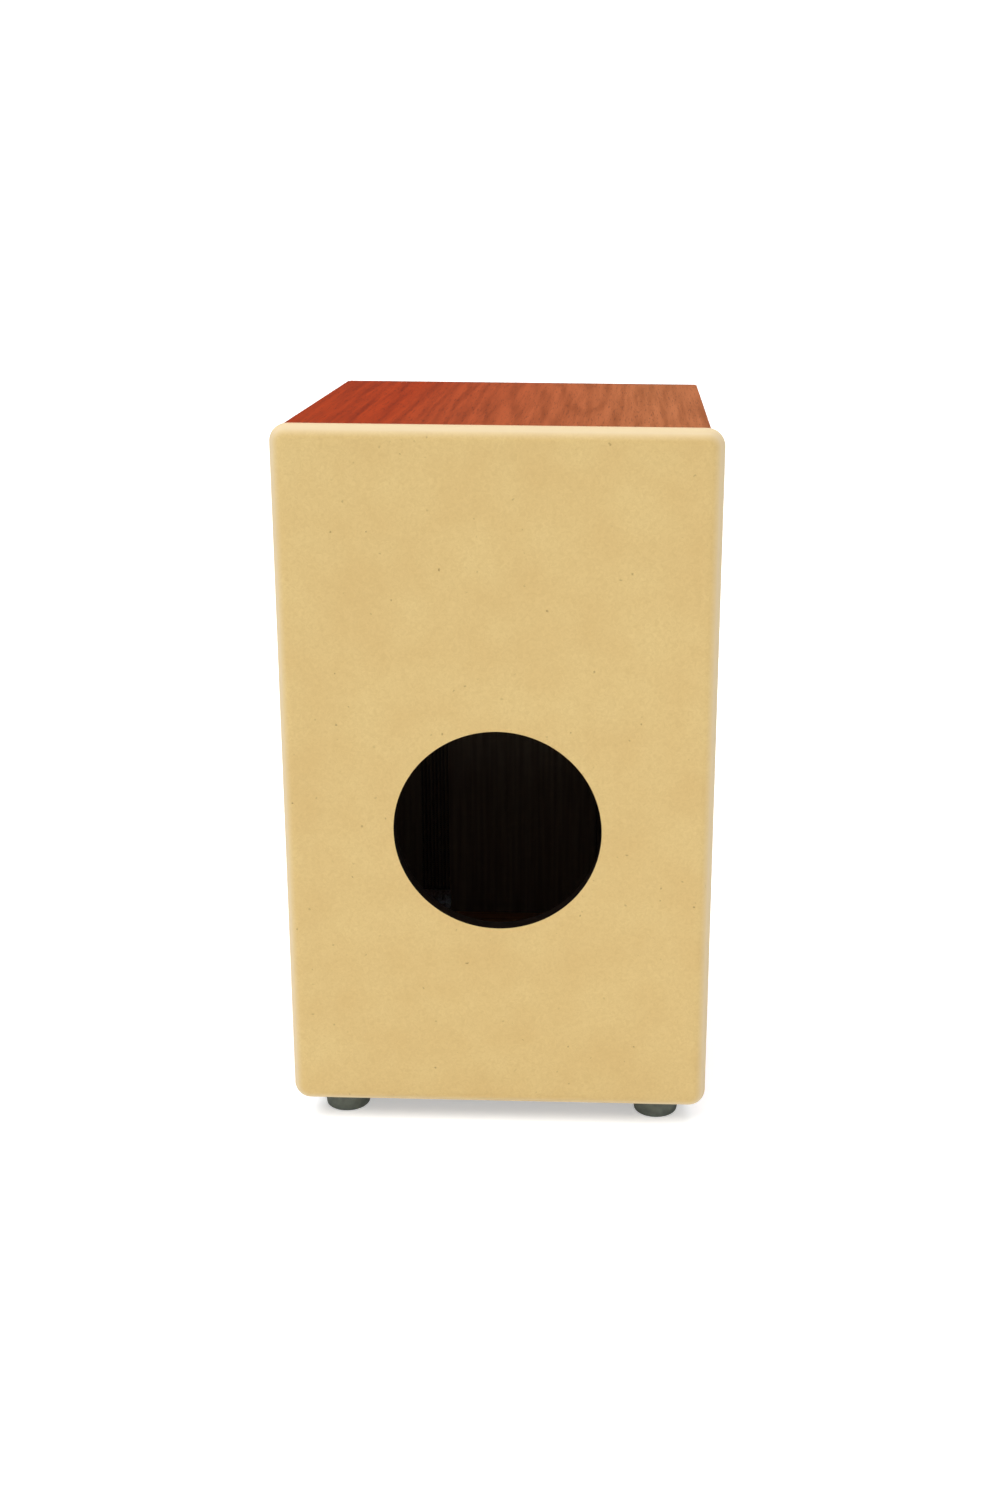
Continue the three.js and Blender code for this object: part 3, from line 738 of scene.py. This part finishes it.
def bottom_board():
    low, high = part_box("bottom_board")
    width, depth, thickness = high - low
    middle = (low + high) / 2
    bm = rounded_sheet(width, depth, thickness, EASED, (EASED, EASED), EASED_STEPS)
    profile = [(COUNTERBORE_RADIUS, 0), (COUNTERBORE_RADIUS, COUNTERBORE_DEPTH),
               (BOLT_CLEARANCE_RADIUS, COUNTERBORE_DEPTH), (BOLT_CLEARANCE_RADIUS, thickness)]
    bolts = [centre(side + "_tension_bolt") - middle for side in SIDES]
    drill(bm, thickness, [(bolt.x, bolt.y, profile) for bolt in bolts], BOLT_HOLE_FACETS)
    bmesh.ops.translate(bm, verts=bm.verts[:], vec=(middle.x, middle.y, low.z))

    def finish(face):
        """0 on the underside, 1 on the floor of the chamber, 2 on the outer edges."""
        at = face.calc_center_median() - middle
        outer = max(abs(at.x) - width / 2, abs(at.y) - depth / 2) > -EASED
        return 2 if outer and abs(face.normal.z) < SQUARE_ON else inner_face(face)

    finishes = [UNDERSIDE, FLOOR_BACKING, SEAT_VENEER]
    piece = as_piece(bm, "bottom_board", finishes, paint=finish)
    even_normals(piece)
    return piece


print("bottom board:", triangles(bottom_board()), "triangles")

# %% [markdown]
# ## The front plate
#
# The part that is struck is 3 mm plywood with the finest veneer. It is screwed all round with
# countersunk screws, so every hole opens in a cone to the front.

# %% Make the front plate
PLATE_CORNER = 2 * MM
PLATE_EASING = 0.5 * MM
PLATE_STEPS = 4
SINK_RADIUS = 3.8 * MM
SINK_DEPTH = 2.2 * MM
PLATE_HOLE_RADIUS = 2.05 * MM
PLATE_HOLE_FACETS = 32
PLATE_SCREWS = sorted(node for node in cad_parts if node.startswith("plate_screw"))


def front_plate():
    low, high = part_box("front_plate")
    width, thickness, height = high - low
    middle = (low + high) / 2
    bm = rounded_sheet(width, height, thickness, PLATE_CORNER, (PLATE_EASING, PLATE_EASING / 2),
                       PLATE_STEPS)
    sink = [(SINK_RADIUS, 0), (PLATE_HOLE_RADIUS, SINK_DEPTH), (PLATE_HOLE_RADIUS, thickness)]
    holes = [(spot.x - middle.x, spot.z - middle.z, sink) for spot in map(centre, PLATE_SCREWS)]
    drill(bm, thickness, holes, PLATE_HOLE_FACETS)
    bmesh.ops.transform(bm, matrix=standing(middle.x, low.y, middle.z, 1), verts=bm.verts[:])
    inside = low.y + thickness * 0.9
    piece = as_piece(bm, "front_plate", [FRONT_VENEER, BACKING],
                     paint=lambda face: int(face.calc_center_median().y > inside))
    even_normals(piece)
    return piece


print("front plate:", triangles(front_plate()), "triangles,", len(PLATE_SCREWS), "holes")

# %% [markdown]
# ## Battens and the snare bar
#
# The battens, the bar and the yokes keep the shapes that the frame gives them. The wooden ones take
# their wood, with the grain along each piece, and the yokes are bent from zinc-plated strip.

# %% Give the plain pieces their materials
def dress(node, material):
    """Put a material on a node that keeps its own shape."""
    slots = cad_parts[node].data.materials
    slots.clear()
    slots.append(material)


for node in ("top_left_batten", "top_right_batten", "bottom_left_batten", "bottom_right_batten"):
    dress(node, BATTEN_WOOD)
for node in ("snare_anchor_batten", "snare_bar"):
    dress(node, BAR_WOOD)
for side in SIDES:
    dress(side + "_snare_yoke", ZINC)
print("four battens, the anchor batten, the bar and two yokes keep their shapes")

# %% [markdown]
# ## Turned pieces
#
# Feet, washers and the outsides of screws are round, so each is half an outline spun about an axis.
# The axis is upright, and a matrix then lays the piece where it belongs.

# %% Spin an outline
TO_SOFTEN = radians(40)


def spun(outline, sides, closed=False):
    """Spin an outline of (radius, height) points about Z."""
    bm = bmesh.new()
    verts = [bm.verts.new((radius, 0, height)) for radius, height in outline]
    pairs = list(zip(verts, verts[1:]))
    if closed:
        pairs.append((verts[-1], verts[0]))
    edges = [bm.edges.new(pair) for pair in pairs]
    bmesh.ops.spin(bm, geom=verts + edges, cent=(0, 0, 0), axis=(0, 0, 1), angle=2 * pi, steps=sides,
                   use_merge=True)
    bmesh.ops.remove_doubles(bm, verts=bm.verts[:], dist=1e-7)
    return bm


def soften(bm, offset, steps):
    """Bevel the rings where a turned piece has a sharp edge."""
    bmesh.ops.recalc_face_normals(bm, faces=bm.faces[:])
    sharp = [edge for edge in bm.edges if edge.is_manifold and edge.calc_face_angle() > TO_SOFTEN]
    bmesh.ops.bevel(bm, geom=sharp, offset=offset, segments=steps, profile=0.5, affect="EDGES", material=-1)
    return bm


# %% [markdown]
# ## The feet
#
# Each foot is a rubber bumper that narrows a little towards the sole, with a deep recess that keeps the
# screw off the floor. The lower edge has the largest round, so that round is part of the outline. The
# other edges are moulded nearly sharp, and a small bevel softens them.

# %% Make the feet and their washers
FOOT_RECESS_RADIUS = 7 * MM
FOOT_RECESS_DEPTH = 10 * MM
FOOT_BORE_RADIUS = 2.3 * MM
FOOT_TAPER = 1.5 * MM
SOLE_ROUNDING = 2.2 * MM
FOOT_SOFTENING = 0.8 * MM
SOFTENED_STEPS = 4
FOOT_FACETS = 72
WASHER_FACETS = 48
WASHER_EASING = 0.2  # of the washer's thickness
WASHER_STEPS = 2
FOOT_WASHER_BORE = 2.3 * MM
TENSION_WASHER_BORE = 2.8 * MM


def foot(node):
    """A rubber foot, from its sole upwards."""
    low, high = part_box(node)
    radius, height = (high.x - low.x) / 2, high.z - low.z
    centre_of_round = radius - FOOT_TAPER - SOLE_ROUNDING
    quarter = [k * pi / 16 for k in range(9)]
    sole = [(centre_of_round + SOLE_ROUNDING * sin(t), SOLE_ROUNDING * (1 - cos(t))) for t in quarter]
    outline = [(FOOT_BORE_RADIUS, FOOT_RECESS_DEPTH), (FOOT_RECESS_RADIUS, FOOT_RECESS_DEPTH),
               (FOOT_RECESS_RADIUS, 0), *sole, (radius, height), (FOOT_BORE_RADIUS, height)]
    bm = soften(spun(outline, FOOT_FACETS, closed=True), FOOT_SOFTENING, SOFTENED_STEPS)
    bmesh.ops.translate(bm, verts=bm.verts[:], vec=((low.x + high.x) / 2, (low.y + high.y) / 2, low.z))
    return as_piece(bm, node, [RUBBER])


def washer(node, bore_radius):
    """A flat washer with its edges just broken."""
    low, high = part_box(node)
    radius, thick = (high.x - low.x) / 2, high.z - low.z
    outline = [(bore_radius, 0), (radius, 0), (radius, thick), (bore_radius, thick)]
    bm = soften(spun(outline, WASHER_FACETS, closed=True), thick * WASHER_EASING, WASHER_STEPS)
    bmesh.ops.translate(bm, verts=bm.verts[:], vec=((low.x + high.x) / 2, (low.y + high.y) / 2, low.z))
    return as_piece(bm, node, [ZINC])


FEET = ["front_left", "front_right", "back_left", "back_right"]
for corner in FEET:
    print(corner, "foot:", triangles(foot(corner + "_foot")), "triangles")
    washer(corner + "_foot_washer", FOOT_WASHER_BORE)
for side in SIDES:
    washer(side + "_tension_washer", TENSION_WASHER_BORE)

# %% [markdown]
# ## Screws
#
# A screw's head is what shows, so it gets a real cross recess: a cross drawn on the head's flat, with
# the face filled around it and its rim pushed down to a smaller floor. The threads are cut as plain
# rings, because they are buried in wood.

# %% Heads with a recess
def recess(bm, outer_ring, shape, depth, floor_size):
    """Fill a head's flat face round a recess, and sink the recess. floor_size is a share of its mouth."""
    loop = [bm.verts.new((x, y, 0)) for x, y in shape]
    edges = [bm.edges.new(pair) for pair in zip(loop, loop[1:] + loop[:1])]
    bmesh.ops.triangle_fill(bm, edges=outer_ring + edges, use_beauty=True)
    grown = bmesh.ops.extrude_edge_only(bm, edges=edges)["geom"]
    verts = [part for part in grown if isinstance(part, bmesh.types.BMVert)]
    bmesh.ops.scale(bm, verts=verts, vec=(floor_size, floor_size, 1))
    bmesh.ops.translate(bm, verts=verts, vec=(0, 0, -depth))
    floor = [part for part in grown if isinstance(part, bmesh.types.BMEdge)]
    bmesh.ops.triangle_fill(bm, edges=floor, use_beauty=True)


def cross(reach, half_width):
    """The outline of a cross, as points in order."""
    arm = [(reach, -half_width), (reach, half_width), (half_width, half_width)]
    turns = [(cos(k * pi / 2), sin(k * pi / 2)) for k in range(4)]
    return [(x * c - y * s, x * s + y * c) for c, s in turns for x, y in arm]


def hexagon(across_flats):
    """The outline of a hexagon, as points in order."""
    radius = across_flats / 2 / cos(pi / 6)
    return [(radius * cos(k * pi / 3), radius * sin(k * pi / 3)) for k in range(6)]


def top_ring(bm):
    """The open edges at the top of a spun head."""
    level = [edge for edge in bm.edges if all(abs(vert.co.z) < 1e-7 for vert in edge.verts)]
    return [edge for edge in level if edge.is_boundary]


# %% Shanks with rings of thread
ROOT_SHARE = 0.72  # of the shank's radius
RECESS_REACH = 0.5  # of the head's radius
RECESS_HALF_WIDTH = 0.13
RECESS_FLOOR = 0.55  # of the recess's mouth
RIM_SHARE = 0.12  # of a countersunk head's rise
CROWN_FLAT = 0.72  # of a round head's radius
CROWN_DROP = 0.7  # of a round head's rise
THREAD_START = 1.5  # times the head's rise
POINT_LENGTH = 2  # times the shank's radius
SCREW_FACETS = 32


def threaded(root, crest, start, end, pitch):
    """Outline points for a thread that runs down from one height to another."""
    turns = int((start - end) / pitch)
    points = []
    for turn in range(turns):
        height = start - turn * pitch
        points += [(root, height), (crest, height - pitch * 0.5)]
    return points + [(root, start - turns * pitch)]


def screw(kind):
    """A screw along Z, with the face of its head at Z = 0 and its point down."""
    head, shank, length = kind["head"], kind["shank"], kind["length"]
    rise = kind["rise"]
    if kind["countersunk"]:
        top = [(head, 0), (head, -rise * RIM_SHARE), (shank, -rise)]
    else:
        quarter = [k * pi / 8 for k in range(5)]
        widths = [CROWN_FLAT + (1 - CROWN_FLAT) * sin(t) for t in quarter]
        crown = [(head * w, -rise * CROWN_DROP * (1 - cos(t))) for w, t in zip(widths, quarter)]
        top = crown + [(head, -rise), (shank, -rise)]
    start, end = -rise * THREAD_START, -length + shank * POINT_LENGTH
    thread = threaded(shank * ROOT_SHARE, shank, start, end, kind["pitch"])
    bm = spun(top + thread + [(0, -length)], SCREW_FACETS)
    mouth = cross(head * RECESS_REACH, head * RECESS_HALF_WIDTH)
    recess(bm, top_ring(bm), mouth, kind["recess"], RECESS_FLOOR)
    return bm


# Heads and shanks are radii, and the rise is the height of the head.
PLATE_SCREW = {"head": 3.5 * MM, "shank": 1.7 * MM, "rise": 2 * MM, "length": 20 * MM, "pitch": 1.4 * MM,
               "recess": 1.5 * MM, "countersunk": True}
WIRE_SCREW = {"head": 2.6 * MM, "shank": 1.3 * MM, "rise": 1.1 * MM, "length": 14 * MM, "pitch": 1.1 * MM,
              "recess": 0.9 * MM, "countersunk": True}
FOOT_SCREW = {"head": 4 * MM, "shank": 2 * MM, "rise": 2.6 * MM, "length": 38 * MM, "pitch": 1.6 * MM,
              "recess": 1.7 * MM, "countersunk": False}
YOKE_SCREW = {"head": 2.8 * MM, "shank": 1.5 * MM, "rise": 2 * MM, "length": 5 * MM, "pitch": 0.6 * MM,
              "recess": 1.1 * MM, "countersunk": False}

# %% Place every screw
FACING_FRONT = Matrix.Rotation(radians(90), 4, "X")
FACING_BACK = Matrix.Rotation(radians(-90), 4, "X")
FACING_DOWN = Matrix.Rotation(radians(180), 4, "X")
TWIST_STEP = 17  # degrees, so that no two recesses stand the same way


def place_screw(node, kind, facing, material, body="box"):
    """Make a screw and set the face of its head on the matching face of the node's box."""
    low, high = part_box(node)
    head = (low + high) / 2
    outwards = facing @ Vector((0, 0, 1))
    for axis in range(3):
        if abs(outwards[axis]) > 0.5:
            head[axis] = high[axis] if outwards[axis] > 0 else low[axis]
    bm = screw(kind)
    twist = Matrix.Rotation(radians(TWIST_STEP * len(bpy.data.meshes)), 4, "Z")
    bmesh.ops.transform(bm, matrix=Matrix.Translation(head) @ facing @ twist, verts=bm.verts[:])
    return as_piece(bm, node, [material], body)


for node in PLATE_SCREWS:
    made = place_screw(node, PLATE_SCREW, FACING_FRONT, BLACK_OXIDE)
print("each plate screw:", triangles(made), "triangles")
for corner in FEET:
    place_screw(corner + "_foot_screw", FOOT_SCREW, FACING_DOWN, ZINC)
for side in SIDES:
    for number in ("1", "2"):
        place_screw(f"{side}_wire_screw_{number}", WIRE_SCREW, FACING_FRONT, ZINC)
        place_screw(f"{side}_yoke_screw_{number}", YOKE_SCREW, FACING_BACK, ZINC,
                    side + "_yoke")

# %% [markdown]
# ## The tension bolts
#
# A cap screw with a hexagonal socket stands in each counterbore. Turning it with a key draws the yoke
# down and tightens the snare wires.

# %% Make the tension bolts
BOLT_HEAD_RADIUS = 4.25 * MM
BOLT_HEAD_HEIGHT = 5 * MM
BOLT_RADIUS = 2.5 * MM
BOLT_PITCH = 0.8 * MM
BOLT_PLAIN = 12 * MM  # smooth shank under the head
SOCKET_ACROSS = 4 * MM
SOCKET_DEPTH = 2.5 * MM
SOCKET_FLOOR = 0.98
BOLT_CHAMFER = 0.5 * MM
BOLT_ROOT_SHARE = 0.86  # of the bolt's radius
BOLT_TIP_SHARE = 0.7
BOLT_FACETS = 40


def tension_bolt(side):
    """A cap screw with its head in the counterbore and its thread up through the yoke."""
    node = side + "_tension_bolt"
    low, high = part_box(node)
    length = high.z - low.z
    head = [(BOLT_HEAD_RADIUS - BOLT_CHAMFER, 0), (BOLT_HEAD_RADIUS, -BOLT_CHAMFER),
            (BOLT_HEAD_RADIUS, -BOLT_HEAD_HEIGHT), (BOLT_RADIUS, -BOLT_HEAD_HEIGHT)]
    start = -BOLT_HEAD_HEIGHT - BOLT_PLAIN
    root = BOLT_RADIUS * BOLT_ROOT_SHARE
    thread = threaded(root, BOLT_RADIUS, start, -length + BOLT_CHAMFER, BOLT_PITCH)
    tip = [(BOLT_RADIUS * BOLT_TIP_SHARE, -length), (0, -length)]
    bm = spun([*head, (BOLT_RADIUS, start), *thread, *tip], BOLT_FACETS)
    recess(bm, top_ring(bm), hexagon(SOCKET_ACROSS), SOCKET_DEPTH, SOCKET_FLOOR)
    place = Matrix.Translation(((low.x + high.x) / 2, (low.y + high.y) / 2, low.z)) @ FACING_DOWN
    bmesh.ops.transform(bm, matrix=place, verts=bm.verts[:])
    return as_piece(bm, node, [BLACK_OXIDE], side + "_bolt")


for side in SIDES:
    print(side, "tension bolt:", triangles(tension_bolt(side)), "triangles")

# %% [markdown]
# ## The snare wires
#
# A snare is a row of thin steel springs, soldered at both ends to a flat plate. Here a small ring of
# wire is spun about a strand's axis and moved along it at the same time, which makes a true coil. The
# coil's pitch is drawn a little wider than a real one's, to keep the mesh light.

# %% Wind one strand
STRANDS = 8
STRAND_SPACING = 3.1 * MM
COIL_RADIUS = 1.1 * MM
WIRE_RADIUS = 0.28 * MM
COIL_PITCH = 2.0 * MM
STEPS_PER_TURN = 10
WIRE_FACETS = 5
UPPER_PLATE_HEIGHT = 16 * MM
LOWER_PLATE_HEIGHT = 14 * MM
END_PLATE_THICK = 1.2 * MM
SOLDER_LAP = 4 * MM


def strand(length):
    """A coil along +Z from Z = 0."""
    turns = round(length / COIL_PITCH)
    bm = bmesh.new()
    section = Matrix.Translation((COIL_RADIUS - WIRE_RADIUS, 0, 0)) @ Matrix.Rotation(pi / 2, 4, "X")
    ring = bmesh.ops.create_circle(bm, cap_ends=True, segments=WIRE_FACETS, radius=WIRE_RADIUS,
                                   matrix=section)
    start = ring["verts"] + ring_edges(ring["verts"])
    steps = turns * STEPS_PER_TURN
    last = bmesh.ops.spin(bm, geom=start, cent=(0, 0, 0), axis=(0, 0, 1), dvec=(0, 0, length / steps),
                          angle=2 * pi * turns, steps=steps)["geom_last"]
    edges = [part for part in last if isinstance(part, bmesh.types.BMEdge)]
    bmesh.ops.edgeloop_fill(bm, edges=edges)
    return bm


# %% Gather the strands between their plates
END_PLATE_CORNER = 1 * MM
END_PLATE_EASING = 0.15 * MM
END_PLATE_STEPS = 3
WIRE_SCREW_SINK = [(2.9 * MM, 0), (1.6 * MM, END_PLATE_THICK)]
YOKE_SCREW_BORE = [(1.8 * MM, 0), (1.8 * MM, END_PLATE_THICK)]
END_PLATE_HOLE_FACETS = 24


def end_plate(low, high, holes):
    """A thin plate with two screw holes, facing the front."""
    width, thickness, height = high - low
    middle = (low + high) / 2
    easing = (END_PLATE_EASING, END_PLATE_EASING)
    bm = rounded_sheet(width, height, thickness, END_PLATE_CORNER, easing, END_PLATE_STEPS)
    holes = [(u - middle.x, v - middle.z, profile) for u, v, profile in holes]
    drill(bm, thickness, holes, END_PLATE_HOLE_FACETS)
    bmesh.ops.transform(bm, matrix=standing(middle.x, low.y, middle.z, 1), verts=bm.verts[:])
    return bm


def absorb(bm, other):
    """Copy another bmesh into this one."""
    carrier = bpy.data.meshes.new("carrier")
    other.to_mesh(carrier)
    other.free()
    bm.from_mesh(carrier)
    bpy.data.meshes.remove(carrier)


def snare_wires(side):
    """A set of coiled strands with the plates that hold its ends."""
    node = side + "_snare_wires"
    low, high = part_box(node)
    plate_front = high.y - END_PLATE_THICK
    upper_low = Vector((low.x, plate_front, high.z - UPPER_PLATE_HEIGHT))
    lower_high = Vector((high.x, high.y, low.z + LOWER_PLATE_HEIGHT))
    wire_screws = [centre(f"{side}_wire_screw_{number}") for number in (1, 2)]
    yoke_screws = [centre(f"{side}_yoke_screw_{number}") for number in (1, 2)]
    upper_holes = [(spot.x, spot.z, WIRE_SCREW_SINK) for spot in wire_screws]
    lower_holes = [(spot.x, spot.z, YOKE_SCREW_BORE) for spot in yoke_screws]
    bm = end_plate(upper_low, high, upper_holes)
    absorb(bm, end_plate(Vector((low.x, plate_front, low.z)), lower_high, lower_holes))
    start = lower_high.z - SOLDER_LAP
    coil = strand(upper_low.z + SOLDER_LAP - start)
    across = (low.x + high.x) / 2 - (STRANDS - 1) * STRAND_SPACING / 2
    bmesh.ops.translate(coil, verts=coil.verts[:], vec=(across, low.y + COIL_RADIUS, start))
    one = coil.verts[:] + coil.edges[:] + coil.faces[:]
    for number in range(1, STRANDS):
        made = bmesh.ops.duplicate(coil, geom=one)["geom"]
        verts = [part for part in made if isinstance(part, bmesh.types.BMVert)]
        bmesh.ops.translate(coil, verts=verts, vec=(number * STRAND_SPACING, 0, 0))
    absorb(bm, coil)
    piece = as_piece(bm, node, [SPRING_WIRE], body=None)
    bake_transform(piece)
    return piece


for side in SIDES:
    made = snare_wires(side)
    print(side, "snare wires:", triangles(made), "triangles")

# %% Write the sizes and finish
FINISHED_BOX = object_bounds()
for name, corners in (("frame", CAD_BOX), ("finished", FINISHED_BOX)):
    print(name, "box:", [round(value, 4) for corner in corners for value in corner])
